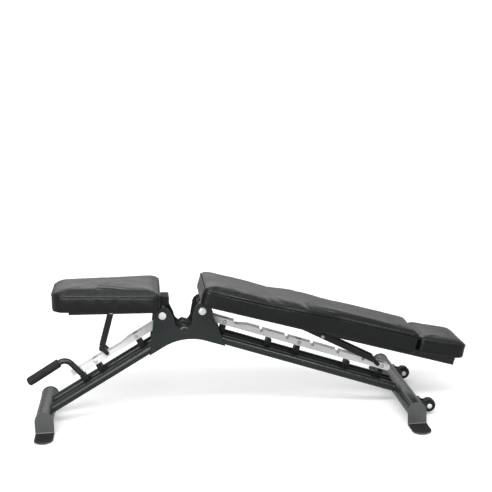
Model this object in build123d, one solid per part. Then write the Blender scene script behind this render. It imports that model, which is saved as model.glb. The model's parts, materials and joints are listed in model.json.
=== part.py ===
# Adjustable weight bench: twin-rail steel frame, tilting seat, reclining backrest on notched ladders.
# +X runs from the seat to the head end, +Y across the bench, +Z up. Millimetres.
# The frame is laid out from the front foot and moved at the end, so that the origin is on the
# floor under the middle of the bench.
import os
from math import acos, atan2, cos, degrees, hypot, radians, sin, tan

from build123d import *

# Feet
FOOT_Z = 47.0  # height of both foot tubes' axes
FOOT_D = 57.0
FOOT_WALL = 2.5
FOOT_GAP = 1177.0  # from the front foot to the rear foot
FRONT_HALF = 125.0  # half the length of each foot tube
REAR_HALF = 258.0
PLATE_W = 60.0  # foot plate width
PLATE_T = 4.0
TONGUE = 86.0  # how far a foot plate's tongue reaches outwards
SOLE_T = 3.0
SOLE_INSET = 1.5
CAP_RISE = 1.8  # thickness of the rubber tread on a tongue
CAP_INSET = 1.2

# Rails
APEX_X = 458.0  # where the front and rear rails meet
APEX_Z = 302.0
RAIL_D = 28.6
RAIL_WALL = 2.0
RAIL_Y = 43.5  # each side of the middle

# Centre plates and pivots
SEAT_PIVOT = (392.0, 353.0)
BACK_PIVOT = (522.0, 361.0)
SIDE_T = 5.0
EAR_R = 28.0
NOTCH_R = 28.0  # rounded gap between the two ears
NOTCH_C = (459.0, 331.0)
FRONT_WING = 386.0  # where the centre plates end, along the front rail and along the rear rail
REAR_WING = 147.0
BELLY_R = 170.0
AXLE_D = 12.0
CAP_R = 12.5
CAP_T = 5.0
SLEEVE_R = 14.0
BUSH_R = 10.0
BUSH_L = 20.0
FLANGE_T = 2.8
RUN_FIT = 0.05  # radial clearance of every running fit
SIDE_GAP = 0.2  # end float of every pivot

# Ladders
RISE = 52.5  # ladder's middle line above the rail's axis
LADDER_H = 21.0
LADDER_T = 4.0
LADDER_Y = 13.0  # inner face of each strip
PIN_R = 5.0
NOTCH_FIT = 0.3
FRONT_START = 127.0  # along the front rail, from the front foot
FRONT_START_NEAR = 171.0  # the near strip starts past the handle's foot
FRONT_ANCHOR = 451.0
REAR_ANCHOR = 84.0  # along the rear rail, from the apex
REAR_END = 713.0
ROD_R = 6.0
SEAT_NOTCH = 267.5
SEAT_PITCH = 25.0
SEAT_NOTCHES = 4
BACK_NOTCH = 164.0
BACK_PITCH = 90.0
BACK_NOTCHES = 6
DECLINE_NOTCH = 660.0
SEAT_PIN_H = 2.5  # pin centre above the ladder's top edge, when it sits in a notch
BACK_PIN_H = -3.5
POST_L = 17.0
POST_HALF = 17.0
TENON_HALF = 12.9
POST_GAP = 6.0  # daylight between a post's shoulder and the ladder
FRONT_POSTS = (159.0, 222.0, 377.0)
REAR_POSTS = (127.5, 288.0, 387.5, 566.0, 684.5)
FRONT_BOLTS = (222.0, 377.0)
REAR_BOLTS = (127.5, 387.5, 684.5)
BOLT_R = 4.0
BOLT_HEAD_R = 6.5
BOLT_HEAD_T = 3.0
BOLT_BITE = 8.0  # depth of a pad bolt in its board

# Seat, in its own frame: x towards the backrest, z up from the pivot
SEAT_REST = 2.0  # the seat's front stands this many degrees up
SEAT_PAD_X = (-349.0, -8.0)
SEAT_PAD_W = (105.0, 138.0)  # half widths at the front and at the back
SEAT_TUBE_X = -298.0
SEAT_TUBE_Z = (-2.0, 28.0)
SEAT_TOP = 94.0
SEAT_STRUT_P = (-164.7, 6.7)
GUARD_X = (-6.0, 23.0)  # rubber guard behind the seat pad
GUARD_HALF = 32.0
GUARD_H = 28.0

# Backrest, in its own frame: x towards the head, z up from the pivot
BACK_REST = -16.9
TUBE_HALF = 20.0  # half the width of both upholstery tubes
TUBE_WALL = 2.0
BACK_TUBE_X = 876.0
BACK_TUBE_Z = (5.0, 30.0)
BACK_TOP = 92.6
BACK_PAD_X = (-19.0, 712.0)
BACK_WIDE = 130.0
BACK_NARROW = 105.0
TAPER_X = (318.0, 416.0)
TAPER_R = 150.0
BACK_STRUT_P = (286.4, 15.0)
HEAD_X = 719.5
HEAD_LOW = 38.0  # underside of the head pad at its lower end
HEAD_TILT = 4.5
HEAD_L = 162.0
HEAD_T = 55.0
PAD_ROUND = 12.0  # rounding of every pad's top edge
SEAM_CORNER_R = 15.0  # corners where the two back pads meet
BOARD_T = 12.0
BOARD_INSET = 8.0
SKIRT = 2.0  # the cover stops this far above the board's underside

# Struts
BAR_Y = (20.6, 26.0)
SEAT_BAR_R = 9.2  # half the width of a strut bar
BACK_BAR_R = 8.5
HOOK_R = 6.6  # half the width of the hooked end that holds the pin
STRUT_BOLT_R = 5.0
STRUT_HEAD_R = 7.4
STRUT_HEAD_T = 3.8
SEAT_BENDS = ((0.94, -13.0),)  # share of the strut's length, and offset from its pin-to-pin line
BACK_BENDS = ((0.12, 11.0), (0.955, 5.5))
STRUT_TIE = (130.0, 7.8)  # bolt that ties the backrest strut's two bars, in the strut's own frame
TIE_R = 5.2

# Handle
GRIP_END = (-55.5, 137.5)
GRIP_TOP = (47.5, 197.6)
GRIP_R = 14.5
GRIP_CLOSED = 8.0  # thickness of the grip's closed end
HANDLE_R = 9.5
HANDLE_WALL = 1.5
HANDLE_CORNER = 27.5  # from the grip to the corner of the bend, along the grip's axis
HANDLE_FOOT = (127.0, 147.3)
HANDLE_BEND = 30.0

# Wheels
WHEEL_DX = 60.5  # behind the rear foot's axis
WHEEL_Z = 33.0
WHEEL_Y = 168.0
WHEEL_R = 22.0
WHEEL_W = 26.0
FORK_T = 4.0
WHEEL_GAP = 0.8
WHEEL_BOLT_R = 4.0
WHEEL_CAP_R = 8.0
WHEEL_CAP_T = 3.5

rail_angle_front = degrees(atan2(APEX_Z - FOOT_Z, APEX_X))
rail_angle_rear = -degrees(atan2(APEX_Z - FOOT_Z, FOOT_GAP - APEX_X))
front_length = hypot(APEX_X, APEX_Z - FOOT_Z)
rear_length = hypot(FOOT_GAP - APEX_X, APEX_Z - FOOT_Z)
ladder_top = RISE + LADDER_H / 2
ladder_low = RISE - LADDER_H / 2
post_top = ladder_low - POST_GAP
side_y = RAIL_Y + RAIL_D / 2  # inner face of the centre plates


def frame_at(x, z, angle):
    """A frame at (x, z) in the middle plane, its x axis raised by an angle in degrees."""
    a = radians(angle)
    return Plane(origin=(x, 0, z), x_dir=(cos(a), 0, sin(a)), z_dir=(-sin(a), 0, cos(a))).location


FRONT = frame_at(0, FOOT_Z, rail_angle_front)
REAR = frame_at(APEX_X, APEX_Z, rail_angle_rear)
SEAT = frame_at(*SEAT_PIVOT, -SEAT_REST)
BACK = frame_at(*BACK_PIVOT, BACK_REST)


def slab(face, y0, y1):
    """A side-view face, drawn as (x, z), given its thickness from y0 to y1."""
    return Pos(0, y1, 0) * extrude(Plane.XZ * face, y1 - y0)


def box(x, y, z):
    middle = Pos((x[0] + x[1]) / 2, (y[0] + y[1]) / 2, (z[0] + z[1]) / 2)
    return middle * Box(x[1] - x[0], y[1] - y[0], z[1] - z[0])


def rod_y(x, z, r, y0, y1):
    """A round bar across the bench."""
    return Pos(x, (y0 + y1) / 2, z) * Rot(90, 0, 0) * Cylinder(r, y1 - y0)


def rod_x(y, z, r, x0, x1):
    return Pos((x0 + x1) / 2, y, z) * Rot(0, 90, 0) * Cylinder(r, x1 - x0)


def rod_z(x, y, r, z0, z1):
    return Pos(x, y, (z0 + z1) / 2) * Cylinder(r, z1 - z0)


def capsule(a, b, r):
    """A bar with round ends, in side view."""
    turn = degrees(atan2(b[1] - a[1], b[0] - a[0]))
    middle = Pos((a[0] + b[0]) / 2, (a[1] + b[1]) / 2)
    return middle * Rot(0, 0, turn) * SlotCenterToCenter(hypot(b[0] - a[0], b[1] - a[1]), 2 * r)


def both_sides(shape):
    return Compound(children=[*shape.solids(), *mirror(shape, Plane.XZ).solids()])


def point(location, x, z):
    """The (x, z) place of a point given in a local frame."""
    p = (location * Pos(x, 0, z)).position
    return (p.X, p.Z)


# Where the strut pins sit, and the two linkages
def linkage(pivot, arm, rest_angle, rest_pin, far_pin, sign):
    """Strut length, travel of the pivoted frame and of the strut on it, from notch to notch."""
    reach = hypot(*arm)
    arm_angle = atan2(arm[1], arm[0])
    frame = frame_at(*pivot, rest_angle)
    top = point(frame, *arm)
    length = hypot(rest_pin[0] - top[0], rest_pin[1] - top[1])
    strut_rest = atan2(rest_pin[1] - top[1], rest_pin[0] - top[0])
    gap = hypot(far_pin[0] - pivot[0], far_pin[1] - pivot[1])
    at_pivot = acos((reach**2 + gap**2 - length**2) / (2 * reach * gap))
    far_arm = atan2(far_pin[1] - pivot[1], far_pin[0] - pivot[0]) + sign * at_pivot
    far_top = (pivot[0] + reach * cos(far_arm), pivot[1] + reach * sin(far_arm))
    strut_far = atan2(far_pin[1] - far_top[1], far_pin[0] - far_top[0])
    travel = degrees(far_arm - arm_angle) - rest_angle
    travel = (travel + 180) % 360 - 180
    swing = degrees(strut_far - strut_rest) - travel
    return length, travel, swing, top, strut_rest


seat_pin_z = ladder_top + SEAT_PIN_H
back_pin_z = ladder_top + BACK_PIN_H
seat_pin_rest = point(FRONT, SEAT_NOTCH, seat_pin_z)
seat_pin_far = point(FRONT, SEAT_NOTCH + SEAT_PITCH * (SEAT_NOTCHES - 1), seat_pin_z)
back_pin_rest = point(REAR, DECLINE_NOTCH, back_pin_z)
back_pin_far = point(REAR, BACK_NOTCH, back_pin_z)
seat_link = linkage(SEAT_PIVOT, SEAT_STRUT_P, -SEAT_REST, seat_pin_rest, seat_pin_far, -1)
back_link = linkage(BACK_PIVOT, BACK_STRUT_P, BACK_REST, back_pin_rest, back_pin_far, 1)
SEAT_STRUT = frame_at(*seat_link[3], degrees(seat_link[4]))
BACK_STRUT = frame_at(*back_link[3], degrees(back_link[4]))


def pin_path(link, pivot, ladder, steps):
    """Places of a strut's pin in its ladder's frame, as the pivoted frame goes through its travel."""
    length, travel, swing, top, strut_rest = link
    reach = hypot(top[0] - pivot[0], top[1] - pivot[1])
    start = atan2(top[1] - pivot[1], top[0] - pivot[0])
    places = []
    for i in range(steps + 1):
        share = i / steps
        arm = start + radians(travel) * share
        strut = strut_rest + radians(travel + swing) * share
        x = pivot[0] + reach * cos(arm) + length * cos(strut)
        z = pivot[1] + reach * sin(arm) + length * sin(strut)
        local = (ladder.inverse() * Pos(x, 0, z)).position
        places.append((local.X, local.Z))
    return places


# Feet
def foot_tube(x, half):
    outer = rod_y(x, FOOT_Z, FOOT_D / 2, -half, half)
    return outer - rod_y(x, FOOT_Z, FOOT_D / 2 - FOOT_WALL, -half, half)


def tongue_outline(half, inset=0.0):
    r = PLATE_W / 2
    start = half + inset
    flat = half + TONGUE - r
    block = Pos(0, (start + flat) / 2) * Rectangle(2 * (r - inset), flat - start)
    return block + Pos(0, flat) * Circle(r - inset)


def foot_plate(x, half):
    r = PLATE_W / 2
    upright = Pos(x, (SOLE_T + FOOT_Z) / 2) * Rectangle(PLATE_W, FOOT_Z - SOLE_T)
    upright += Pos(x, FOOT_Z) * Circle(r)
    tongue = Pos(x, 0, SOLE_T) * extrude(tongue_outline(half), PLATE_T)
    plate = slab(upright, half, half + PLATE_T) + tongue
    inside = [e for e in plate.edges().filter_by(Axis.X) if abs(e.center().Z - SOLE_T - PLATE_T) < 0.01]
    plate = fillet(inside, PLATE_T)
    corner = [e for e in plate.edges().filter_by(Axis.X) if abs(e.center().Z - SOLE_T) < 0.01]
    return fillet(corner, PLATE_T + 1.0)


def foot_cap(x, half):
    """Rubber tread on a tongue, from the end of the plate's bend to the tip."""
    start = half + 2 * PLATE_T + 0.5
    flat = half + TONGUE - PLATE_W / 2
    r = PLATE_W / 2 - CAP_INSET
    face = Pos(0, (start + flat) / 2) * Rectangle(2 * r, flat - start) + Pos(0, flat) * Circle(r)
    body = Pos(x, 0, SOLE_T + PLATE_T) * extrude(face, CAP_RISE)
    return fillet(body.faces().sort_by(Axis.Z)[-1].edges(), CAP_RISE * 0.6)


def sole(x, half):
    return Pos(x, 0, 0) * extrude(tongue_outline(half, PLATE_T + SOLE_INSET), SOLE_T)


# Rails
def rail(frame, length, y, start, end):
    tube = rod_x(y, 0, RAIL_D / 2, start, end) - rod_x(y, 0, RAIL_D / 2 - RAIL_WALL, start, end)
    return frame * tube


def apex_half(side):
    """Everything on one side of the plane that halves the bend between the rails."""
    middle = (rail_angle_front + rail_angle_rear) / 2
    big = rear_length + RAIL_D
    across = (0, big) if side > 0 else (-big, 0)
    return frame_at(APEX_X, APEX_Z, middle) * box(across, (-big, big), (-big, big))


def front_rail(y):
    tube = rail(FRONT, front_length, y, 0, front_length + RAIL_D)
    return (tube & apex_half(-1)) - rod_y(0, FOOT_Z, FOOT_D / 2, -FRONT_HALF, FRONT_HALF)


def rear_rail(y):
    tube = rail(REAR, rear_length, y, -RAIL_D, rear_length)
    return (tube & apex_half(1)) - rod_y(FOOT_GAP, FOOT_Z, FOOT_D / 2, -REAR_HALF, REAR_HALF)


# Centre plates
def centre_plate():
    low = -RAIL_D / 2
    foot_front = point(FRONT, FRONT_WING, low)
    foot_rear = point(REAR, REAR_WING, low)
    apex_low = (APEX_X, APEX_Z + low / cos(radians((rail_angle_front - rail_angle_rear) / 2)))
    belly = Polyline(foot_front, apex_low, foot_rear)
    arch = fillet(belly.vertices().sort_by(Axis.X)[1:2], BELLY_R)
    left = (SEAT_PIVOT[0] - EAR_R, SEAT_PIVOT[1])
    right = (BACK_PIVOT[0] + EAR_R, BACK_PIVOT[1])
    notch_left = (NOTCH_C[0] - NOTCH_R, NOTCH_C[1])
    notch_right = (NOTCH_C[0] + NOTCH_R, NOTCH_C[1])
    lean = radians(35)
    ear_left = (SEAT_PIVOT[0] + EAR_R * cos(lean), SEAT_PIVOT[1] + EAR_R * sin(lean))
    ear_right = (BACK_PIVOT[0] - EAR_R, BACK_PIVOT[1])
    top_left = (SEAT_PIVOT[0], SEAT_PIVOT[1] + EAR_R)
    top_right = (BACK_PIVOT[0], BACK_PIVOT[1] + EAR_R)
    notch_low = (NOTCH_C[0], NOTCH_C[1] - NOTCH_R)
    rim = arch.edges() + [
        Line(foot_front, left),
        ThreePointArc(left, top_left, ear_left),
        Line(ear_left, notch_left),
        ThreePointArc(notch_left, notch_low, notch_right),
        Line(notch_right, ear_right),
        ThreePointArc(ear_right, top_right, right),
        Line(right, foot_rear),
    ]
    face = make_face(rim)
    plate = slab(face, side_y, side_y + SIDE_T)
    for x, z in (SEAT_PIVOT, BACK_PIVOT):
        plate -= rod_y(x, z, AXLE_D / 2, side_y - 1, side_y + SIDE_T + 1)
    return plate


# Ladders
def strip(x0, x1, round_start, round_end):
    r = LADDER_H / 2
    face = Pos((x0 + x1) / 2, RISE) * Rectangle(x1 - x0, LADDER_H)
    if round_start:
        face += Pos(x0, RISE) * Circle(r)
    if round_end:
        face += Pos(x1, RISE) * Circle(r)
    return face


def notch(x, z, deeper=0.0):
    """A round-bottomed notch that takes the strut's pin from above."""
    r = PIN_R + NOTCH_FIT
    return Pos(x, z - deeper) * Circle(r) + Pos(x, z - deeper + 10) * Rectangle(2 * r, 20)


def swept(path):
    """Room for the pin along its whole path."""
    r = PIN_R + NOTCH_FIT
    room = Sketch()
    for a, b in zip(path, path[1:]):
        low = min(a[1], b[1])
        if low - r < ladder_top:
            top = ladder_top + 20
            room += capsule(a, b, r)
            room += make_face(Polyline(a, b, (b[0], top), (a[0], top), close=True))
    return room


def front_ladder(start):
    face = strip(start, FRONT_ANCHOR, False, True)
    path = pin_path(seat_link, SEAT_PIVOT, FRONT, 12)
    face -= swept(path)
    for i in range(SEAT_NOTCHES):
        x = SEAT_NOTCH + SEAT_PITCH * i
        near = min(path, key=lambda p: abs(p[0] - x))
        face -= notch(x, near[1], 1.0 if 0 < i < SEAT_NOTCHES - 1 else 0.0)
    for x in FRONT_BOLTS:
        face -= Pos(x, RISE) * Circle(BOLT_R)
    face -= Pos(FRONT_ANCHOR, RISE) * Circle(ROD_R)
    return FRONT * slab(face, LADDER_Y, LADDER_Y + LADDER_T)


def rear_ladder():
    face = strip(REAR_ANCHOR, REAR_END - LADDER_H / 2, True, True)
    face -= swept(pin_path(back_link, BACK_PIVOT, REAR, 60))
    places = [BACK_NOTCH + BACK_PITCH * i for i in range(BACK_NOTCHES)] + [DECLINE_NOTCH]
    for x in places:
        face -= notch(x, back_pin_z, 2.0 if BACK_NOTCH < x < DECLINE_NOTCH else 0.0)
    for x in REAR_BOLTS:
        face -= Pos(x, RISE) * Circle(BOLT_R)
    face -= Pos(REAR_ANCHOR, RISE) * Circle(ROD_R)
    return REAR * slab(face, LADDER_Y, LADDER_Y + LADDER_T)


def post(frame, x, bolted):
    """A stub that carries the ladder, on a crossbar between the two rails."""
    across = (x - POST_L / 2, x + POST_L / 2)
    bar = box(across, (-RAIL_Y, RAIL_Y), (-6, 6))
    for y in (-RAIL_Y, RAIL_Y):
        bar -= rod_x(y, 0, RAIL_D / 2, x - POST_L, x + POST_L)
    bar = bar.solids().sort_by(lambda s: -s.volume)[0]
    body = bar + box(across, (-POST_HALF, POST_HALF), (6, post_top))
    if bolted:
        body += box(across, (-TENON_HALF, TENON_HALF), (post_top, RISE + 8))
        body -= rod_y(x, RISE, BOLT_R, -POST_HALF, POST_HALF)
    return frame * body


def cross_bolt(frame, x, z, shank, head, head_t, reach):
    """A bolt across the bench with a low round head at each end."""
    body = rod_y(x, z, shank, -reach, reach)
    for y0, y1 in ((-reach - head_t, -reach), (reach, reach + head_t)):
        cap = rod_y(x, z, head, y0, y1)
        rim = cap.edges().filter_by(GeomType.CIRCLE).sort_by(Axis.Y)[0 if y0 < 0 else -1]
        body += fillet(rim, head_t * 0.45)
    return frame * body


# Pivots
def sleeve(frame, half):
    outer = rod_y(0, 0, SLEEVE_R, -half, half)
    return frame * (outer - rod_y(0, 0, BUSH_R, -half, half))


def bush(frame, half):
    body = rod_y(0, 0, BUSH_R, half - BUSH_L, half) + rod_y(0, 0, SLEEVE_R, half, half + FLANGE_T)
    return frame * both_sides(body - rod_y(0, 0, AXLE_D / 2 + RUN_FIT, 0, side_y))


def axle(pivot):
    return rod_y(*pivot, AXLE_D / 2, -side_y - SIDE_T - CAP_T + 2, side_y + SIDE_T + CAP_T - 2)


def pivot_cap(pivot):
    y = side_y + SIDE_T
    cap = rod_y(*pivot, CAP_R, y, y + CAP_T)
    cap = fillet(cap.edges().filter_by(GeomType.CIRCLE).sort_by(Axis.Y)[-1], 2.5)
    return both_sides(cap - rod_y(*pivot, AXLE_D / 2, y, y + CAP_T - 2))


# Upholstery tubes, boards and pads
def box_tube(x0, x1, z, holes):
    outer = box((x0, x1), (-TUBE_HALF, TUBE_HALF), z)
    outer = fillet(outer.edges().filter_by(Axis.X), 3.0)
    w = TUBE_WALL
    hollow = box((x0 - 1, x1 + 1), (-TUBE_HALF + w, TUBE_HALF - w), (z[0] + w, z[1] - w))
    tube = outer - hollow - rod_y(0, 0, SLEEVE_R, -TUBE_HALF, TUBE_HALF)
    for x, hz, r in holes:
        tube -= rod_y(x, hz, r, -TUBE_HALF - 1, TUBE_HALF + 1)
    return tube


def tube_plug(x, z, way):
    """A plastic end cap pushed into a box tube."""
    w = TUBE_WALL
    head = box(sorted((x, x + way * 3)), (-TUBE_HALF, TUBE_HALF), z)
    head = fillet(head.edges().filter_by(Axis.X), 3.0)
    return head + box(sorted((x, x - way * 15)), (-TUBE_HALF + w, TUBE_HALF - w), (z[0] + w, z[1] - w))


def pad_bolt(x, z_low, z_high):
    return rod_z(x, 0, BOLT_R, z_low, z_high) + rod_z(x, 0, BOLT_HEAD_R, z_low - BOLT_HEAD_T, z_low)


def seat_outline(inset=0.0):
    x0, x1 = SEAT_PAD_X[0] + inset, SEAT_PAD_X[1] - inset
    w0, w1 = SEAT_PAD_W[0] - inset, SEAT_PAD_W[1] - inset
    face = make_face(Polyline((x0, -w0), (x1, -w1), (x1, w1), (x0, w0), close=True))
    front = face.vertices().sort_by(Axis.X)[:2]
    back = face.vertices().sort_by(Axis.X)[2:]
    face = fillet(front, 40.0 - inset)
    return fillet(face.vertices().group_by(Axis.X)[-1], 18.0 - inset / 2)


def back_outline(inset=0.0):
    x0, x1 = BACK_PAD_X[0] + inset, BACK_PAD_X[1] - inset
    wide, narrow = BACK_WIDE - inset, BACK_NARROW - inset
    taper = ((TAPER_X[0], wide), (TAPER_X[1], narrow))
    upper = [(x0, wide), *taper, (x1, narrow)]
    lower = [(x, -y) for x, y in reversed(upper)]
    face = make_face(Polyline(*upper, *lower, close=True))
    bends = [v for v in face.vertices() if x0 + 1 < v.X < x1 - 1]
    face = fillet(bends, TAPER_R)
    face = fillet(face.vertices().group_by(Axis.X)[0], 22.0 - inset)
    return fillet(face.vertices().group_by(Axis.X)[-1], SEAM_CORNER_R - inset)


def head_outline(inset=0.0):
    w = BACK_NARROW - inset
    x0, x1 = inset, HEAD_L - inset
    face = make_face(Polyline((x0, -w), (x1, -w), (x1, w), (x0, w), close=True))
    face = fillet(face.vertices().group_by(Axis.X)[-1], 42.0 - inset)
    return fillet(face.vertices().group_by(Axis.X)[0], SEAM_CORNER_R - inset)


def board(outline, z):
    return Pos(0, 0, z) * extrude(outline(BOARD_INSET), BOARD_T)


def pad(outline, z0, z1):
    """A pad's outer shape, with a recess underneath for its board."""
    body = Pos(0, 0, z0 + SKIRT) * extrude(outline(), z1 - z0 - SKIRT)
    rim = body.faces().sort_by(Axis.Z)[-1].edges()
    return fillet(rim, PAD_ROUND) - board(outline, z0)


HEAD = BACK * Pos(HEAD_X, 0, HEAD_LOW) * Rot(0, -HEAD_TILT, 0)


def head_underside(x):
    """Height of the head board's underside above the backrest's pivot line."""
    return HEAD_LOW + (x - HEAD_X) * tan(radians(HEAD_TILT))


def head_wedge():
    """The tapered block that tips the head pad up from the backrest tube."""
    x0, x1 = HEAD_X + 22, BACK_TUBE_X - 12
    low = BACK_TUBE_Z[1]
    top = ((x1, head_underside(x1)), (x0, head_underside(x0)))
    face = make_face(Polyline((x0, low), (x1, low), *top, close=True))
    return BACK * slab(face, -TUBE_HALF + 2, TUBE_HALF - 2)


# Struts
def strut_bar(link, bends, width, frame):
    """One flat bar of a strut, bent where it clears the tube and where it hooks into the ladder."""
    length = link[0]
    line = [(0, 0), *((share * length, offset) for share, offset in bends), (length, 0)]
    tip = (length + 5.0, -bends[-1][1] * 0.45)
    face = capsule(line[-2], line[-1], HOOK_R) + capsule(line[-1], tip, HOOK_R)
    for a, b in zip(line, line[1:-1]):
        face += capsule(a, b, width)
    bar = slab(face, *BAR_Y)
    bar -= rod_y(0, 0, STRUT_BOLT_R + RUN_FIT, 0, BAR_Y[1] + 1)
    bar -= rod_y(length, 0, PIN_R, 0, BAR_Y[1] + 1)
    return frame * bar


def strut_pin(link, frame):
    return frame * rod_y(link[0], 0, PIN_R, -BAR_Y[1] - 1, BAR_Y[1] + 1)


def strut_spacer():
    outer = rod_y(*STRUT_TIE, TIE_R, -BAR_Y[0], BAR_Y[0])
    return BACK_STRUT * (outer - rod_y(*STRUT_TIE, BOLT_R, -BAR_Y[0], BAR_Y[0]))


# Handle
grip_length = hypot(GRIP_TOP[0] - GRIP_END[0], GRIP_TOP[1] - GRIP_END[1])


def along_grip(distance):
    """A point on the grip's axis, at a distance from its free end."""
    share = distance / grip_length
    return tuple(a + (b - a) * share for a, b in zip(GRIP_END, GRIP_TOP))


def handle_tube():
    inner_end = along_grip(GRIP_CLOSED)
    corner = along_grip(grip_length + HANDLE_CORNER)
    bend = FilletPolyline(inner_end, corner, HANDLE_FOOT, radius=HANDLE_BEND)
    path = Plane.XZ * bend
    start = Plane(origin=path @ 0, z_dir=path % 0)
    body = sweep(start * (Circle(HANDLE_R) - Circle(HANDLE_R - HANDLE_WALL)), path)
    under = box((FRONT_START, FRONT_POSTS[0] + 60), (-POST_HALF, POST_HALF), (0, post_top))
    return body - FRONT * under


def handle_grip():
    along = (GRIP_TOP[0] - GRIP_END[0], 0, GRIP_TOP[1] - GRIP_END[1])
    here = Plane(origin=(GRIP_END[0], 0, GRIP_END[1]), z_dir=along)
    body = rod_z(0, 0, GRIP_R, 0, grip_length)
    ends = body.edges().filter_by(GeomType.CIRCLE).sort_by(Axis.Z)
    body = fillet(ends[0], 7.0)
    body = fillet(body.edges().filter_by(GeomType.CIRCLE).sort_by(Axis.Z)[-1], 3.0)
    return here * (body - rod_z(0, 0, HANDLE_R, GRIP_CLOSED, grip_length))


# Wheels
def wheel(y):
    tyre = rod_y(0, 0, WHEEL_R, -WHEEL_W / 2, WHEEL_W / 2)
    tyre = fillet(tyre.edges().filter_by(GeomType.CIRCLE), 3.5)
    tyre -= rod_y(0, 0, WHEEL_BOLT_R + RUN_FIT, -WHEEL_W, WHEEL_W)
    return Pos(FOOT_GAP + WHEEL_DX, y, WHEEL_Z) * tyre


def wheel_fork(y):
    inner = WHEEL_W / 2 + WHEEL_GAP
    x, r = FOOT_GAP + WHEEL_DX, 10.0
    root = FOOT_GAP + FOOT_D / 2 - 14
    cheek = make_face(Polyline((root, 22), (x, WHEEL_Z - r), (x, WHEEL_Z + r), (root, 60), close=True))
    cheek += Pos(x, WHEEL_Z) * Circle(r)
    body = slab(cheek, inner, inner + FORK_T) + slab(cheek, -inner - FORK_T, -inner)
    body += box((root, FOOT_GAP + FOOT_D / 2 + 4), (-inner, inner), (22, 60))
    body -= rod_y(x, WHEEL_Z, WHEEL_BOLT_R, -40, 40)
    return Pos(0, y, 0) * body - rod_y(FOOT_GAP, FOOT_Z, FOOT_D / 2, -REAR_HALF, REAR_HALF)


def wheel_bolt(y):
    reach = WHEEL_W / 2 + WHEEL_GAP + FORK_T
    centre = Pos(FOOT_GAP + WHEEL_DX, y, WHEEL_Z)
    return cross_bolt(centre, 0, 0, WHEEL_BOLT_R, WHEEL_CAP_R, WHEEL_CAP_T, reach)


nodes = {}
bodies = {}


def add(body, name, shape):
    nodes[name] = shape
    bodies.setdefault(body, []).append(name)


def far_copy(shape):
    return mirror(shape, Plane.XZ)


# Frame
add("frame", "front_foot_tube", foot_tube(0, FRONT_HALF))
add("frame", "rear_foot_tube", foot_tube(FOOT_GAP, REAR_HALF))
for end, x, half in (("front", 0, FRONT_HALF), ("rear", FOOT_GAP, REAR_HALF)):
    add("frame", f"{end}_foot_plate_far", foot_plate(x, half))
    add("frame", f"{end}_foot_plate_near", far_copy(nodes[f"{end}_foot_plate_far"]))
front_soles = both_sides(sole(0, FRONT_HALF))
rear_soles = both_sides(sole(FOOT_GAP, REAR_HALF))
add("frame", "foot_soles", Compound(children=[*front_soles.solids(), *rear_soles.solids()]))
front_treads = both_sides(foot_cap(0, FRONT_HALF))
rear_treads = both_sides(foot_cap(FOOT_GAP, REAR_HALF))
add("frame", "foot_treads", Compound(children=[*front_treads.solids(), *rear_treads.solids()]))
for side, y in (("near", -RAIL_Y), ("far", RAIL_Y)):
    add("frame", f"front_rail_{side}", front_rail(y))
    add("frame", f"rear_rail_{side}", rear_rail(y))
add("frame", "front_ladder_far", front_ladder(FRONT_START))
add("frame", "front_ladder_near", far_copy(front_ladder(FRONT_START_NEAR)))
for name, maker in (("centre_plate", centre_plate), ("rear_ladder", rear_ladder)):
    add("frame", f"{name}_far", maker())
    add("frame", f"{name}_near", far_copy(nodes[f"{name}_far"]))
front_stubs = [post(FRONT, x, x in FRONT_BOLTS) for x in FRONT_POSTS]
rear_stubs = [post(REAR, x, x in REAR_BOLTS) for x in REAR_POSTS]
add("frame", "front_ladder_posts", Compound(children=front_stubs))
add("frame", "rear_ladder_posts", Compound(children=rear_stubs))
outer_face = LADDER_Y + LADDER_T
small_bolt = (BOLT_R, BOLT_HEAD_R, BOLT_HEAD_T)
strut_bolt = (STRUT_BOLT_R, STRUT_HEAD_R, STRUT_HEAD_T)
front_bolts = [cross_bolt(FRONT, x, RISE, *small_bolt, outer_face) for x in FRONT_BOLTS]
rear_bolts = [cross_bolt(REAR, x, RISE, *small_bolt, outer_face) for x in REAR_BOLTS]
add("frame", "ladder_bolts", Compound(children=front_bolts + rear_bolts))
anchors = [
    FRONT * rod_y(FRONT_ANCHOR, RISE, ROD_R, -side_y, side_y),
    REAR * rod_y(REAR_ANCHOR, RISE, ROD_R, -side_y, side_y),
]
add("frame", "ladder_anchor_rods", Compound(children=anchors))
add("frame", "handle_tube", handle_tube())
add("frame", "handle_grip", handle_grip())
for side, y in (("near", -WHEEL_Y), ("far", WHEEL_Y)):
    add("frame", f"wheel_fork_{side}", wheel_fork(y))
add("frame", "wheel_bolts", Compound(children=[wheel_bolt(-WHEEL_Y), wheel_bolt(WHEEL_Y)]))
add("frame", "pivot_axles", Compound(children=[axle(SEAT_PIVOT), axle(BACK_PIVOT)]))
caps = [*pivot_cap(SEAT_PIVOT).solids(), *pivot_cap(BACK_PIVOT).solids()]
add("frame", "pivot_caps", Compound(children=caps))
for side, y in (("near", -WHEEL_Y), ("far", WHEEL_Y)):
    add(f"wheel_{side}", f"transport_wheel_{side}", wheel(y))

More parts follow.
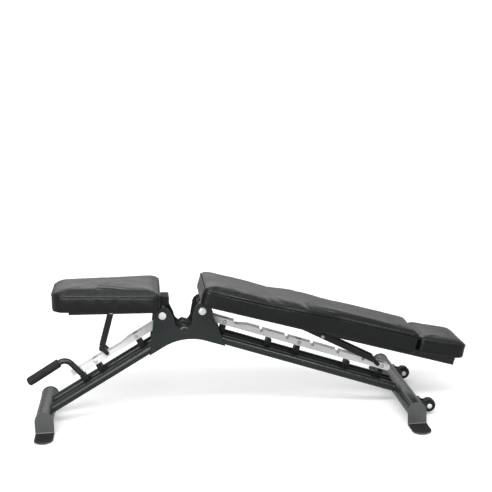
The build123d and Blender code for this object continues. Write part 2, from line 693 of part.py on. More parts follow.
# Seat
sleeve_half = side_y - FLANGE_T - SIDE_GAP
seat_bolts_x = (-250.0, -95.0)
seat_tube = box_tube(SEAT_TUBE_X, 0, SEAT_TUBE_Z, [(*SEAT_STRUT_P, STRUT_BOLT_R)])
for x in seat_bolts_x:
    seat_tube -= rod_z(x, 0, BOLT_R, SEAT_TUBE_Z[0] - 1, SEAT_TUBE_Z[1] + 1)
seat_board = board(seat_outline, SEAT_TUBE_Z[1])
for x in seat_bolts_x:
    seat_board -= rod_z(x, 0, BOLT_R, SEAT_TUBE_Z[1], SEAT_TUBE_Z[1] + BOLT_BITE)
guard = box(GUARD_X, (-GUARD_HALF, GUARD_HALF), (SEAT_TUBE_Z[1], SEAT_TUBE_Z[1] + GUARD_H))
guard = fillet(guard.edges().filter_by(Axis.Y), 5.0)
add("seat", "seat_tube", SEAT * seat_tube)
add("seat", "seat_pivot_sleeve", sleeve(SEAT, sleeve_half))
add("seat", "seat_bushes", bush(SEAT, sleeve_half))
add("seat", "seat_tube_plug", SEAT * tube_plug(SEAT_TUBE_X, SEAT_TUBE_Z, -1))
add("seat", "seat_board", SEAT * seat_board)
add("seat", "seat_pad", SEAT * pad(seat_outline, SEAT_TUBE_Z[1], SEAT_TOP))
add("seat", "seat_rear_guard", SEAT * guard)
seat_pad_bolts = [SEAT * pad_bolt(x, SEAT_TUBE_Z[0], SEAT_TUBE_Z[1] + BOLT_BITE) for x in seat_bolts_x]
add("seat", "seat_pad_bolts", Compound(children=seat_pad_bolts))
reach = BAR_Y[1] + SIDE_GAP
add("seat", "seat_strut_bolt", cross_bolt(SEAT, *SEAT_STRUT_P, *strut_bolt, reach))
add("seat_strut", "seat_strut_bar_far", strut_bar(seat_link, SEAT_BENDS, SEAT_BAR_R, SEAT_STRUT))
add("seat_strut", "seat_strut_bar_near", far_copy(nodes["seat_strut_bar_far"]))
add("seat_strut", "seat_strut_pin", strut_pin(seat_link, SEAT_STRUT))

# Backrest
back_bolts_x = (60.0, 350.0, 620.0)
head_bolts_x = (770.0, 850.0)
back_tube = box_tube(0, BACK_TUBE_X, BACK_TUBE_Z, [(*BACK_STRUT_P, STRUT_BOLT_R)])
for x in back_bolts_x + head_bolts_x:
    back_tube -= rod_z(x, 0, BOLT_R, BACK_TUBE_Z[0] - 1, BACK_TUBE_Z[1] + 1)
back_board = board(back_outline, BACK_TUBE_Z[1])
for x in back_bolts_x:
    back_board -= rod_z(x, 0, BOLT_R, BACK_TUBE_Z[1], BACK_TUBE_Z[1] + BOLT_BITE)
wedge = head_wedge()
for x in head_bolts_x:
    wedge -= BACK * rod_z(x, 0, BOLT_R, BACK_TUBE_Z[1], BACK_TUBE_Z[1] + 40)
head_bolts = [BACK * pad_bolt(x, BACK_TUBE_Z[0], head_underside(x) + BOLT_BITE) for x in head_bolts_x]
head_board = HEAD * board(head_outline, 0)
for bolt in head_bolts:
    head_board -= bolt
add("backrest", "back_tube", BACK * back_tube)
add("backrest", "back_pivot_sleeve", sleeve(BACK, sleeve_half))
add("backrest", "back_bushes", bush(BACK, sleeve_half))
add("backrest", "back_tube_plug", BACK * tube_plug(BACK_TUBE_X, BACK_TUBE_Z, 1))
add("backrest", "back_board", BACK * back_board)
add("backrest", "back_pad", BACK * pad(back_outline, BACK_TUBE_Z[1], BACK_TOP))
add("backrest", "head_wedge", wedge)
add("backrest", "head_board", head_board)
add("backrest", "head_pad", HEAD * pad(head_outline, 0, HEAD_T))
pad_bolts = [BACK * pad_bolt(x, BACK_TUBE_Z[0], BACK_TUBE_Z[1] + BOLT_BITE) for x in back_bolts_x]
add("backrest", "back_pad_bolts", Compound(children=pad_bolts + head_bolts))
add("backrest", "back_strut_bolt", cross_bolt(BACK, *BACK_STRUT_P, *strut_bolt, reach))
back_bar = strut_bar(back_link, BACK_BENDS, BACK_BAR_R, BACK_STRUT)
back_bar -= BACK_STRUT * rod_y(*STRUT_TIE, BOLT_R, 0, BAR_Y[1] + 1)
add("back_strut", "back_strut_bar_far", back_bar)
add("back_strut", "back_strut_bar_near", far_copy(nodes["back_strut_bar_far"]))
add("back_strut", "back_strut_pin", strut_pin(back_link, BACK_STRUT))
add("back_strut", "back_strut_spacer", strut_spacer())
add("back_strut", "back_strut_tie_bolt", cross_bolt(BACK_STRUT, *STRUT_TIE, *small_bolt, BAR_Y[1]))

grip_end = nodes["handle_grip"].bounding_box().min.X
head_end = nodes["head_pad"].bounding_box().max.X
middle_x = (grip_end + head_end) / 2

os.makedirs("parts", exist_ok=True)
for name, shape in nodes.items():
    nodes[name] = Pos(-middle_x, 0, 0) * shape
    export_step(nodes[name], f"parts/{name}.step")
print(len(nodes), "nodes; middle at", round(middle_x, 3), "from the front foot")
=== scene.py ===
"""Adjustable weight bench: pads, grip, wheels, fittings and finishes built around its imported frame."""

import json
import math

import bmesh
import bpy
from bpy.props import FloatProperty, FloatVectorProperty, PointerProperty
from mathutils import Matrix, Vector, noise


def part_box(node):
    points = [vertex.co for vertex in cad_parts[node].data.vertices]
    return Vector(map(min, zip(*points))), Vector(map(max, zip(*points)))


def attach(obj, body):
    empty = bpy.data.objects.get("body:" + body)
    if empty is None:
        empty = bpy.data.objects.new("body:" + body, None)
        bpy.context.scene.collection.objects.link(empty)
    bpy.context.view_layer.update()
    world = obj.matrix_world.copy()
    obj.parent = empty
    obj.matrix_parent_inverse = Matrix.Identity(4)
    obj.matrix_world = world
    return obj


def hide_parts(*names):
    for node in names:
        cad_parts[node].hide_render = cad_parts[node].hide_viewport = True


bl_info = {
    "name": "Adjustable Weight Bench",
    "version": (1, 0, 0),
    "blender": (4, 5, 0),
    "location": "View3D > Sidebar > Bench",
    "description": "Builds a weight bench's pads, grip, wheels, fittings and finishes around its frame",
    "category": "Object",
}

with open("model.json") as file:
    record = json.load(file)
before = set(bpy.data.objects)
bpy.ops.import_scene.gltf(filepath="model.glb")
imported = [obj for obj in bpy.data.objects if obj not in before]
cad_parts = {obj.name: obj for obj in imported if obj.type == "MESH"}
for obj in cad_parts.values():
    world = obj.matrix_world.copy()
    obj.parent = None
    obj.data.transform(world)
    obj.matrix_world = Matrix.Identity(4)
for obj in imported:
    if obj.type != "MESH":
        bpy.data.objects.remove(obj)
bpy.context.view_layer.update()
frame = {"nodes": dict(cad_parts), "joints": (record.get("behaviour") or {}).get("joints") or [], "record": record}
NODES = frame["nodes"]
JOINTS = {joint["name"]: joint for joint in frame["joints"]}

MM = 0.001

# Places of the frame, in metres. A length with MM after it, or in a table below, is in millimetres.
SEAT_PIVOT = Vector(JOINTS["seat_tilt"]["pos_m"])
BACK_PIVOT = Vector(JOINTS["backrest_recline"]["pos_m"])
WHEEL_AXIS = Vector(JOINTS["wheel_spin_far"]["pos_m"])
PLATE_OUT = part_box("centre_plate_far")[1].y
SEAT_ANGLE = -2.0
BACK_ANGLE = -16.9
HEAD_ANGLE = 4.5
HEAD_X = 719.5
HEAD_LOW = 38.0
FOOT_R = 28.5 * MM
FRONT_FOOT_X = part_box("front_foot_tube")[0].x + FOOT_R
REAR_FOOT_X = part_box("rear_foot_tube")[0].x + FOOT_R
FOOT_Z = 47 * MM
APEX_Z = 302
RAIL_RISE = 255
FRONT_RUN = 458
REAR_RUN = 719
APEX = Vector((FRONT_FOOT_X + FRONT_RUN * MM, 0, APEX_Z * MM))
RAIL_Y = 43.5 * MM
RAIL_R = 14.3 * MM

# Ladder bolts: how far along the rails, and how far above their middle line
FRONT_BOLTS = (222, 377)
REAR_BOLTS = (127.5, 387.5, 684.5)
BOLT_RISE = 52.5

# Bolts: radius of the shank, radius and height of the head, and the head's distance from the middle plane
LADDER_BOLT = (4, 6.5, 3, 17)
STRUT_BOLT = (5, 7.4, 3.8, 26.2)
TIE_BOLT = (4, 6.5, 3, 26)

# Caps: radius and height
PIVOT_CAP = (12.5, 5.0)
WHEEL_CAP = (8.0, 3.5)
WHEEL_BOLT_R = 4
FORK_HALF = 17.8

# Grip: its closed end, its mouth, its radius and its hole
GRIP_LOW = Vector((FRONT_FOOT_X - 55.5 * MM, 0, 137.5 * MM))
GRIP_HIGH = Vector((FRONT_FOOT_X + 47.5 * MM, 0, 197.6 * MM))
GRIP_R = 14.5
GRIP_ROUND = 7
GRIP_MOUTH = ((14.5, -3), (14.0, -1), (12.6, 0), (10.4, 0), (9.6, -1), (9.5, -3))
GRIP_HOLE = (9.5, 8)

# Pads: inset of the plain form, its crown's run and its three steps (share of the run, share of the rise)
FORM_INSET = 2.5
CROWN_RUN = 14
CROWN_STEPS = ((0.35, 0.5), (0.7, 0.3), (1.2, 0.2))
PIPING_INSET = 2.2
GROOVE_WIDTH = 2.6
SIDE_WAVE = 0.0011
CLOTH_FRAMES = 20

# Colours of hidden or small pieces
BOLT_COLOUR = (0.74, 0.74, 0.75)
PLASTIC_COLOUR = (0.014, 0.014, 0.015)
NYLON_COLOUR = (0.7, 0.69, 0.64)

# Stage: the floor's half side and the rounding where it turns up, and the camera, in metres and radians
FLOOR_HALF = 9
FLOOR_ROUND = 4
CAMERA_PLACE = (FRONT_FOOT_X + 0.361575, -3.328577, 1.241924)
CAMERA_TURN = (0.0941114, 0.2024774, -0.0334277)
LENS = 76.54
LAMPS = (
    ("key", (-0.3, 0.5, 3.4), 3.2, 2.2),
    ("strip", (0.0, -2.3, 3.0), 5.0, 0.75),
    ("rim", (0.2, 3.0, 1.7), 4.0, 1.2),
    ("fill", (-1.6, -3.6, 1.5), 2.6, 2.0),
)
LAMP_AIM = Vector((0, 0, 0.3))


def tilted(origin, angle):
    """A frame in the bench's middle plane whose x axis is raised by an angle in degrees."""
    return Matrix.Translation(origin) @ Matrix.Rotation(-math.radians(angle), 4, "Y")


SEAT = tilted(SEAT_PIVOT, SEAT_ANGLE)
BACK = tilted(BACK_PIVOT, BACK_ANGLE)
HEAD = BACK @ tilted(Vector((HEAD_X * MM, 0, HEAD_LOW * MM)), HEAD_ANGLE)
FRONT_RAIL = tilted(Vector((FRONT_FOOT_X, 0, FOOT_Z)), math.degrees(math.atan2(RAIL_RISE, FRONT_RUN)))
REAR_RAIL = tilted(APEX, -math.degrees(math.atan2(RAIL_RISE, REAR_RUN)))


# ---------------------------------------------------------------- settings


def shade(label, default, description):
    return FloatVectorProperty(
        name=label, description=description, subtype="COLOR", size=3, min=0, max=1, default=default
    )


def share(label, default, description):
    return FloatProperty(
        name=label, description=description, subtype="FACTOR", min=0, max=1, default=default
    )


def size(label, default, description):
    return FloatProperty(
        name=label, description=description, unit="LENGTH", min=0, precision=4, default=default
    )


def power(label, default, description):
    return FloatProperty(name=label, description=description, unit="POWER", default=default)


class BenchUpholstery(bpy.types.PropertyGroup):
    """Sizes and colours of the three pads."""

    vinyl_colour: shade("Vinyl", (0.0062, 0.0073, 0.007), "Colour of the pads' covers")
    vinyl_roughness: share("Vinyl roughness", 0.3, "Roughness of the pads' covers")
    voxel: size("Mesh size", 0.005, "Edge length of the mesh that is inflated")
    pressure: FloatProperty(
        name="Pressure", description="Air pressure that fills the covers", min=0, default=4.0
    )
    piping_radius: size("Piping radius", 0.0021, "Radius of the cord sewn into each seam")
    groove_depth: size("Seam depth", 0.0022, "How far each seam pulls the cover in")


class BenchSteel(bpy.types.PropertyGroup):
    """Colours of the painted and plated steel."""

    frame_colour: shade(
        "Frame", (0.017, 0.021, 0.0205), "Powder coat of the rails, foot tubes and centre plates"
    )
    foot_colour: shade("Foot plates", (0.10, 0.106, 0.106), "Powder coat of the foot plates")
    post_colour: shade("Posts", (0.004, 0.004, 0.0045), "Paint of the posts under the ladders")
    strut_colour: shade("Struts", (0.007, 0.0075, 0.008), "Paint of the strut bars")
    zinc_colour: shade("Ladders", (0.97, 0.97, 0.97), "Zinc plate of the ladders")
    coat_roughness: share("Coat roughness", 0.22, "Roughness of the powder coat")
    bead_radius: size("Weld radius", 0.0022, "Radius of the weld beads")


class BenchFittings(bpy.types.PropertyGroup):
    """Colours of the grip, wheels, caps and rubber."""

    foam_colour: shade("Grip foam", (0.016, 0.017, 0.015), "Colour of the handle's foam grip")
    rubber_colour: shade("Rubber", (0.008, 0.008, 0.008), "Colour of the soles, guard and wheels")
    cap_colour: shade("Caps", (0.93, 0.93, 0.93), "Colour of the polished caps")
    wood_colour: shade("Plywood", (0.022, 0.019, 0.017), "Colour of the boards under the pads")


class BenchStage(bpy.types.PropertyGroup):
    """Floor and lights."""

    floor_colour: shade("Floor", (0.93, 0.93, 0.93), "Colour of the floor and backdrop")
    key_power: power("Key light", 18.0, "Power of the overhead light")
    strip_power: power("Strip light", 112.0, "Power of the long strip")
    rim_power: power("Rim light", 12.0, "Power of the light behind")
    fill_power: power("Fill light", 52.0, "Power of the front light")
    room_light: FloatProperty(name="Room light", description="Brightness of the surroundings", default=0.44)


# ---------------------------------------------------------------- materials


class Finish:
    """A material in the making: one Principled shader and the nodes that feed it."""

    def __init__(self, name, roughness, metallic=0.0):
        self.material = bpy.data.materials.new(name)
        self.material.use_nodes = True
        self.tree = self.material.node_tree
        self.shader = self.tree.nodes["Principled BSDF"]
        self.shader.inputs["Metallic"].default_value = metallic
        self.shader.inputs["Roughness"].default_value = roughness
        self.place = self.node("ShaderNodeTexCoord").outputs["Object"]

    def node(self, kind, settings=None, **values):
        made = self.tree.nodes.new(kind)
        for key, value in (settings or {}).items():
            setattr(made, key, value)
        for key, value in values.items():
            made.inputs[key.replace("_", " ")].default_value = value
        return made

    def link(self, source, target):
        self.tree.links.new(source, target)

    def stretched(self, scale, turn=(0, 0, 0)):
        """Object coordinates, turned and then stretched."""
        mapping = self.node("ShaderNodeMapping", Rotation=turn, Scale=scale)
        self.link(self.place, mapping.inputs["Vector"])
        return mapping.outputs["Vector"]

    def noise(self, scale, detail=2.0, place=None, **values):
        made = self.node("ShaderNodeTexNoise", Scale=scale, Detail=detail, **values)
        self.link(place or self.place, made.inputs["Vector"])
        return made.outputs["Fac"]

    def cells(self, scale, feature="F1", place=None):
        made = self.node("ShaderNodeTexVoronoi", {"feature": feature}, Scale=scale)
        self.link(place or self.place, made.inputs["Vector"])
        return made.outputs["Distance"]

    def between(self, value, low, high, source=(0.3, 0.7)):
        """A value from 0 to 1 spread between two numbers."""
        made = self.node("ShaderNodeMapRange")
        limits = (source[0], source[1], low, high)
        for key, number in zip(("From Min", "From Max", "To Min", "To Max"), limits):
            made.inputs[key].default_value = number
        self.link(value, made.inputs["Value"])
        return made.outputs["Result"]

    def colours(self, value, stops):
        """A colour ramp's colour for a value from 0 to 1."""
        made = self.node("ShaderNodeValToRGB")
        ramp = made.color_ramp
        while len(ramp.elements) < len(stops):
            ramp.elements.new(0.5)
        for element, (position, colour) in zip(ramp.elements, stops):
            element.position = position
            element.color = (*colour, 1)
        self.link(value, made.inputs["Fac"])
        self.link(made.outputs["Color"], self.shader.inputs["Base Color"])

    def tinted(self, value, colour, spread):
        """The base colour, a little darker and lighter with a value."""
        dark = [c * (1 - spread) for c in colour]
        light = [min(1, c * (1 + spread)) for c in colour]
        self.colours(value, ((0.3, dark), (0.7, light)))

    def rough(self, value, low, high):
        self.link(self.between(value, low, high), self.shader.inputs["Roughness"])

    def bumps(self, *layers):
        """Heights laid over each other, each (value, strength, distance)."""
        last = None
        for value, strength, distance in layers:
            bump = self.node("ShaderNodeBump", Strength=strength, Distance=distance)
            self.link(value, bump.inputs["Height"])
            if last:
                self.link(last, bump.inputs["Normal"])
            last = bump.outputs["Normal"]
        self.link(last, self.shader.inputs["Normal"])


def powder_coat(name, colour, roughness, spread=0.12):
    """Baked powder paint: orange peel, a little unevenness and dust."""
    coat = Finish(name, roughness)
    coat.tinted(coat.noise(9, 5), colour, spread)
    coat.rough(coat.noise(60, 4), roughness - 0.06, roughness + 0.08)
    coat.bumps((coat.noise(420, 2), 0.2, 0.00003), (coat.noise(1500, 1), 0.1, 0.00001))
    coat.shader.inputs["Specular IOR Level"].default_value = 0.55
    return coat.material


def vinyl(name, colour, roughness):
    """Upholstery vinyl: fine pebbled grain, soft creases and a slight sheen."""
    cover = Finish(name, roughness)
    cover.tinted(cover.noise(14, 4), colour, 0.14)
    cover.rough(cover.noise(24, 3), roughness - 0.05, roughness + 0.07)
    grain = cover.between(cover.cells(950, "SMOOTH_F1"), 1, 0, (0, 0.7))
    creases = cover.noise(42, 3, cover.stretched((1.0, 0.35, 1.0), (0, 0, 0.5)))
    cover.bumps((creases, 0.2, 0.0005), (grain, 0.2, 0.00008))
    cover.shader.inputs["Specular IOR Level"].default_value = 0.38
    cover.shader.inputs["Coat Weight"].default_value = 0.1
    cover.shader.inputs["Coat Roughness"].default_value = 0.25
    return cover.material


def foam(name, colour):
    """Closed-cell foam: matte, with small open cells."""
    skin = Finish(name, 0.78)
    skin.tinted(skin.noise(120, 4), colour, 0.3)
    skin.rough(skin.noise(200, 2), 0.7, 0.9)
    skin.bumps((skin.cells(900), 0.5, 0.0004), (skin.noise(60, 3), 0.25, 0.0008))
    return skin.material


def rubber(name, colour, roughness):
    """Moulded rubber with a dusty bloom."""
    skin = Finish(name, roughness)
    skin.tinted(skin.noise(35, 5), colour, 0.35)
    skin.rough(skin.noise(90, 3), roughness - 0.08, roughness + 0.1)
    skin.bumps((skin.noise(700, 2), 0.3, 0.0003))
    return skin.material


def plated(name, colour, roughness, turn=0.0, grain=0.3, metallic=1.0):
    """Plated steel with a fine grain along one direction of the middle plane."""
    steel = Finish(name, roughness, metallic)
    lines = steel.noise(900, 3, steel.stretched((0.04, 1.0, 1.0), (0, turn, 0)))
    steel.tinted(steel.noise(30, 4), colour, 0.05)
    steel.rough(lines, roughness - 0.07, roughness + 0.1)
    steel.bumps((lines, grain, 0.00008))
    return steel.material


def polished(name, colour):
    """Bright caps with faint handling marks."""
    cap = Finish(name, 0.16, 0.08)
    cap.tinted(cap.noise(80, 3), colour, 0.03)
    cap.rough(cap.noise(260, 3), 0.1, 0.26)
    cap.bumps((cap.noise(350, 2), 0.08, 0.0001))
    return cap.material


def plywood(name, colour):
    """Black-stained plywood with its grain along the board."""
    wood = Finish(name, 0.7)
    grain = wood.noise(60, 6, wood.stretched((0.12, 1.0, 2.0)))
    dark = [c * 0.62 for c in colour]
    light = [c * 1.3 for c in colour]
    wood.colours(grain, ((0.3, dark), (0.55, colour), (0.75, light)))
    wood.rough(grain, 0.6, 0.82)
    wood.bumps((grain, 0.3, 0.0005))
    return wood.material


def moulded(name, colour, roughness=0.5):
    """Moulded plastic with a spark-eroded texture."""
    skin = Finish(name, roughness)
    skin.tinted(skin.noise(50, 3), colour, 0.15)
    skin.rough(skin.noise(150, 2), roughness - 0.05, roughness + 0.07)
    skin.bumps((skin.noise(1400, 2), 0.25, 0.00015))
    return skin.material


# ---------------------------------------------------------------- making pieces


def as_object(bm, name, material, place=None):
    """A finished bmesh made an object at the origin, with its place in its mesh."""
    if place is not None:
        bmesh.ops.transform(bm, matrix=place, verts=bm.verts)
    mesh = bpy.data.meshes.new(name)
    bm.to_mesh(mesh)
    bm.free()
    for polygon in mesh.polygons:
        polygon.use_smooth = True
    made = bpy.data.objects.new(name, mesh)
    bpy.context.scene.collection.objects.link(made)
    if material:
        mesh.materials.append(material)
    return made


def settle(piece, body, slot, *nodes):
    """Says what a piece rides on and hides the CAD nodes it stands for. Its finish (slot) is not used."""
    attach(piece, body)
    if nodes:
        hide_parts(*nodes)
    return piece


def spun(bm, profile, steps=48):
    """Fills an empty mesh with a profile of (radius, height) points turned about the Z axis."""
    points = [bm.verts.new((r * MM, 0, z * MM)) for r, z in profile]
    edges = [bm.edges.new(pair) for pair in zip(points, points[1:])]
    bmesh.ops.spin(
        bm, geom=points + edges, cent=(0, 0, 0), axis=(0, 0, 1), angle=math.tau, steps=steps, use_merge=True
    )
    bmesh.ops.remove_doubles(bm, verts=bm.verts, dist=1e-6)
    bmesh.ops.recalc_face_normals(bm, faces=bm.faces)


def add_spun(bm, profile, place, steps=48):
    """A turned profile added to a mesh at a place."""
    single = bmesh.new()
    spun(single, profile, steps)
    bmesh.ops.transform(single, matrix=place, verts=single.verts)
    mesh = bpy.data.meshes.new("turned")
    single.to_mesh(mesh)
    single.free()
    bm.from_mesh(mesh)
    bpy.data.meshes.remove(mesh)


def cord_ring(name, points, radius, material):
    """A round cord through a ring of points, as a mesh."""
    curve = bpy.data.curves.new(name, "CURVE")
    curve.dimensions = "3D"
    curve.bevel_depth = radius
    curve.bevel_resolution = 2
    spline = curve.splines.new("POLY")
    spline.points.add(len(points) - 1)
    for point, place in zip(spline.points, points):
        point.co = (*place, 1)
    spline.use_cyclic_u = True
    holder = bpy.data.objects.new(name + "_curve", curve)
    bpy.context.scene.collection.objects.link(holder)
    bpy.context.view_layer.update()
    evaluated = holder.evaluated_get(bpy.context.evaluated_depsgraph_get())
    mesh = bpy.data.meshes.new_from_object(evaluated)
    bpy.data.objects.remove(holder)
    bm = bmesh.new()
    bm.from_mesh(mesh)
    bmesh.ops.remove_doubles(bm, verts=bm.verts, dist=1e-6)
    bmesh.ops.recalc_face_normals(bm, faces=bm.faces)
    return as_object(bm, name, material)


def joined(name, pieces):
    """Several mesh objects made one."""
    bm = bmesh.new()
    for piece in pieces:
        bm.from_mesh(piece.data)
    material = pieces[0].data.materials[0]
    for piece in pieces:
        bpy.data.objects.remove(piece)
    return as_object(bm, name, material)


# ---------------------------------------------------------------- pads


def rounded_outline(bm, corners):
    """A flat face with its corners rounded: each corner is (x, y, radius) in millimetres."""
    points = [Vector((x, y)) for x, y, _ in corners]
    verts = [bm.verts.new((p.x * MM, p.y * MM, 0)) for p in points]
    face = bm.faces.new(verts)
    count = len(points)
    for i, vert in enumerate(verts):
        radius = corners[i][2]
        turn = (points[i] - points[i - 1]).angle(points[(i + 1) % count] - points[i])
        if radius and turn > 0.01:
            bmesh.ops.bevel(
                bm,
                geom=[vert],
                offset=radius * MM * math.tan(turn / 2),
                segments=max(3, int(math.degrees(turn) / 9)),
                affect="VERTICES",
                profile=0.5,
                material=-1,
            )
    return bm.faces[:][0] if len(bm.faces) == 1 else face


def mirrored_corners(corners):
    """An outline's far half with its near half added."""
    return [*corners, *[(x, -y, r) for x, y, r in reversed(corners)]]


SEAT_OUTLINE = mirrored_corners([(-8, 138, 18), (-349, 105, 40)])
BACK_OUTLINE = mirrored_corners([(712, 105, 15), (416, 105, 150), (318, 130, 150), (-19, 130, 22)])
HEAD_OUTLINE = mirrored_corners([(162, 105, 34), (0, 105, 15)])


def outline_points(corners, height, inset):
    """The points of an outline's edge, moved inwards, at a height."""
    bm = bmesh.new()
    face = rounded_outline(bm, corners)
    bmesh.ops.inset_region(bm, faces=[face], thickness=inset, use_even_offset=True)
    places = [v.co.copy() for v in face.verts]
    bm.free()
    return [Vector((p.x, p.y, height * MM)) for p in places]


def pad_form(corners, low, seam, crown, inset):
    """The plain form of a pad: a boxed side up to the seam and a low crown above it, in millimetres."""
    bm = bmesh.new()
    face = rounded_outline(bm, corners)
    bmesh.ops.inset_region(bm, faces=[face], thickness=inset * MM, use_even_offset=True)
    bmesh.ops.delete(bm, geom=[f for f in bm.faces if f is not face], context="FACES")
    bmesh.ops.translate(bm, verts=bm.verts, vec=(0, 0, low * MM))
    grown = bmesh.ops.extrude_face_region(bm, geom=[face])["geom"]
    top = [g for g in grown if isinstance(g, bmesh.types.BMFace)]
    moved = [g for g in grown if isinstance(g, bmesh.types.BMVert)]
    bmesh.ops.translate(bm, verts=moved, vec=(0, 0, (seam - low) * MM))
    for run, rise in CROWN_STEPS:
        bmesh.ops.inset_region(bm, faces=top, thickness=CROWN_RUN * MM * run, use_even_offset=True)
        raised = list({v for f in top for v in f.verts})
        bmesh.ops.translate(bm, verts=raised, vec=(0, 0, crown * rise * MM))
    bmesh.ops.recalc_face_normals(bm, faces=bm.faces)
    return bm


def applied(piece):
    """The piece with its modifiers made real."""
    bpy.context.view_layer.update()
    evaluated = piece.evaluated_get(bpy.context.evaluated_depsgraph_get())
    mesh = bpy.data.meshes.new_from_object(evaluated)
    piece.modifiers.clear()
    old, piece.data = piece.data, mesh
    bpy.data.meshes.remove(old)
    return piece


def inflate(piece, held, pressure, cap):
    """Fills a closed cover with air by cloth simulation. Held points stay, and the cap limits the others."""
    rest = [v.co.copy() for v in piece.data.vertices]
    group = piece.vertex_groups.new(name="held")
    group.add([i for i, co in enumerate(rest) if held(co)], 1.0, "REPLACE")
    cloth = piece.modifiers.new("Cover", "CLOTH")
    cloth.settings.vertex_group_mass = "held"
    cloth.settings.pin_stiffness = 10
    cloth.settings.quality = 5
    cloth.settings.mass = 0.25
    cloth.settings.tension_stiffness = 12
    cloth.settings.compression_stiffness = 12
    cloth.settings.shear_stiffness = 6
    cloth.settings.bending_stiffness = 8
    cloth.settings.shrink_min = -0.002
    cloth.settings.use_pressure = True
    cloth.settings.uniform_pressure_force = pressure
    cloth.settings.effector_weights.gravity = 0
    cloth.collision_settings.use_collision = False
    cloth.collision_settings.use_self_collision = False
    for step in range(1, CLOTH_FRAMES + 1):
        bpy.context.scene.frame_set(step)
    applied(piece)
    bpy.context.scene.frame_set(1)
    for vert, start in zip(piece.data.vertices, rest):
        moved = vert.co - start
        if moved.length > 1e-9:
            vert.co = start + moved.normalized() * cap * math.tanh(moved.length / cap)
    piece.vertex_groups.clear()


def soft_pad(name, corners, low, seam, crown, cap, settings, shape):
    """A pad's cover in its own flat frame: inflated, subdivided, then shaped by place and normal."""
    bm = pad_form(corners, low, seam, crown, FORM_INSET)
    piece = as_object(bm, name, None)
    remesh = piece.modifiers.new("Grid", "REMESH")
    remesh.mode = "VOXEL"
    remesh.voxel_size = settings.voxel
    applied(piece)
    bottom = (low + 3) * MM
    line = seam * MM
    sewn = 0.55 * settings.voxel
    inflate(piece, lambda co: co.z < bottom or abs(co.z - line) < sewn, settings.pressure, cap)
    piece.modifiers.new("Finer", "SUBSURF").levels = 1
    piece.modifiers["Finer"].render_levels = 1
    applied(piece)
    mesh = piece.data
    normals = [v.normal.copy() for v in mesh.vertices]
    for vert, normal in zip(mesh.vertices, normals):
        pinch = settings.groove_depth * math.exp(-(((vert.co.z - line) / (GROOVE_WIDTH * MM)) ** 2))
        vert.co += shape(vert.co, normal) - normal * pinch
    for polygon in mesh.polygons:
        polygon.use_smooth = True
    return piece


def fold(co, start, end, width, depth):
    """How deep a soft fold between two points of a pad's top is at a place. It has a ridge on each side."""
    a, b = Vector(start) * MM, Vector(end) * MM
    along = b - a
    p = Vector((co.x, co.y)) - a
    t = max(0.0, min(1.0, p.dot(along) / along.length_squared))
    wander = 4 * MM * noise.noise(Vector((t * 4, start[0] * 0.1, end[1] * 0.1)))
    distance = (p - along * t).length + wander
    fade = math.sin(math.pi * min(1, t * 1.4 + 0.08)) if t > 0.6 else min(1, t * 4 + 0.15)
    near = math.exp(-((distance / (width * MM)) ** 2))
    wide = math.exp(-((distance / (2.4 * width * MM)) ** 2))
    return depth * MM * fade * (near - 0.45 * wide)


# Folds: (start, end, width, depth) on each pad's top
SEAT_FOLDS = [
    ((-28, -122), (-325, -46), 7, 1.5),
    ((-30, -118), (-318, -2), 10, 2.4),
    ((-34, -112), (-300, 44), 8, 1.5),
    ((-60, -118), (-330, -74), 5, 1.0),
    ((-40, -104), (-262, 78), 7, 1.0),
    ((-30, 120), (-322, 30), 9, 1.6),
    ((-44, 112), (-300, 70), 6, 0.9),
    ((-330, -84), (-214, -40), 6, 1.0),
]
BACK_FOLDS = [
    ((10, -112), (250, -70), 9, 0.9),
    ((6, 108), (220, 60), 9, 0.9),
    ((20, -96), (190, -20), 10, 0.7),
    ((690, -92), (560, -50), 7, 0.6),
    ((690, 92), (560, 50), 7, 0.6),
]
HEAD_FOLDS = [
    ((150, -72), (60, -40), 7, 0.8),
    ((150, 72), (60, 40), 7, 0.8),
    ((12, -92), (90, -60), 6, 0.6),
    ((12, 92), (90, 60), 6, 0.6),
]


def shaper(folds, line, side_wave):
    """Folds on a pad's top and slow waves along its sides."""

    def shape(co, normal):
        top = max(0.0, min(1.0, (normal.z - 0.2) / 0.5))
        depth = sum(fold(co, *f) for f in folds) if top > 0 else 0.0
        slow = noise.noise(co * 14) * side_wave + noise.noise(co * 45) * side_wave * 0.3
        side = (1 - abs(normal.z)) * (1.0 if co.z < line else 0.4)
        return Vector((0, 0, -depth * top)) + normal * slow * (side + 0.35 * top)

    return shape


def thicker(co, low, seam, extra):
    """How far a point rises where a pad gets thicker: (start, end, rise), in millimetres along the pad."""
    start, end, rise = extra
    along = max(0.0, min(1.0, (co.x / MM - start) / (end - start)))
    share_up = max(0.0, min(1.0, (co.z / MM - low) / (seam - low)))
    return Vector((0, 0, rise * MM * along * along * (3 - 2 * along) * share_up))


def upholster(name, corners, low, seam, crown, cap, folds, place, settings, cover, extra=(0, 1, 0)):
    """A pad and the piping in its seam, put in place."""
    shape = shaper(folds, seam * MM, SIDE_WAVE)
    piece = soft_pad(name, corners, low, seam, crown, cap, settings, shape)
    for vert in piece.data.vertices:
        vert.co += thicker(vert.co, low, seam, extra)
    piece.data.transform(place)
    piece.data.materials.clear()
    piece.data.materials.append(cover)
    edge = outline_points(corners, seam, PIPING_INSET * MM)
    ring = [place @ (p + thicker(p, low, seam, extra)) for p in edge]
    piping = cord_ring(name.replace("cushion", "piping"), ring, settings.piping_radius, cover)
    return piece, piping


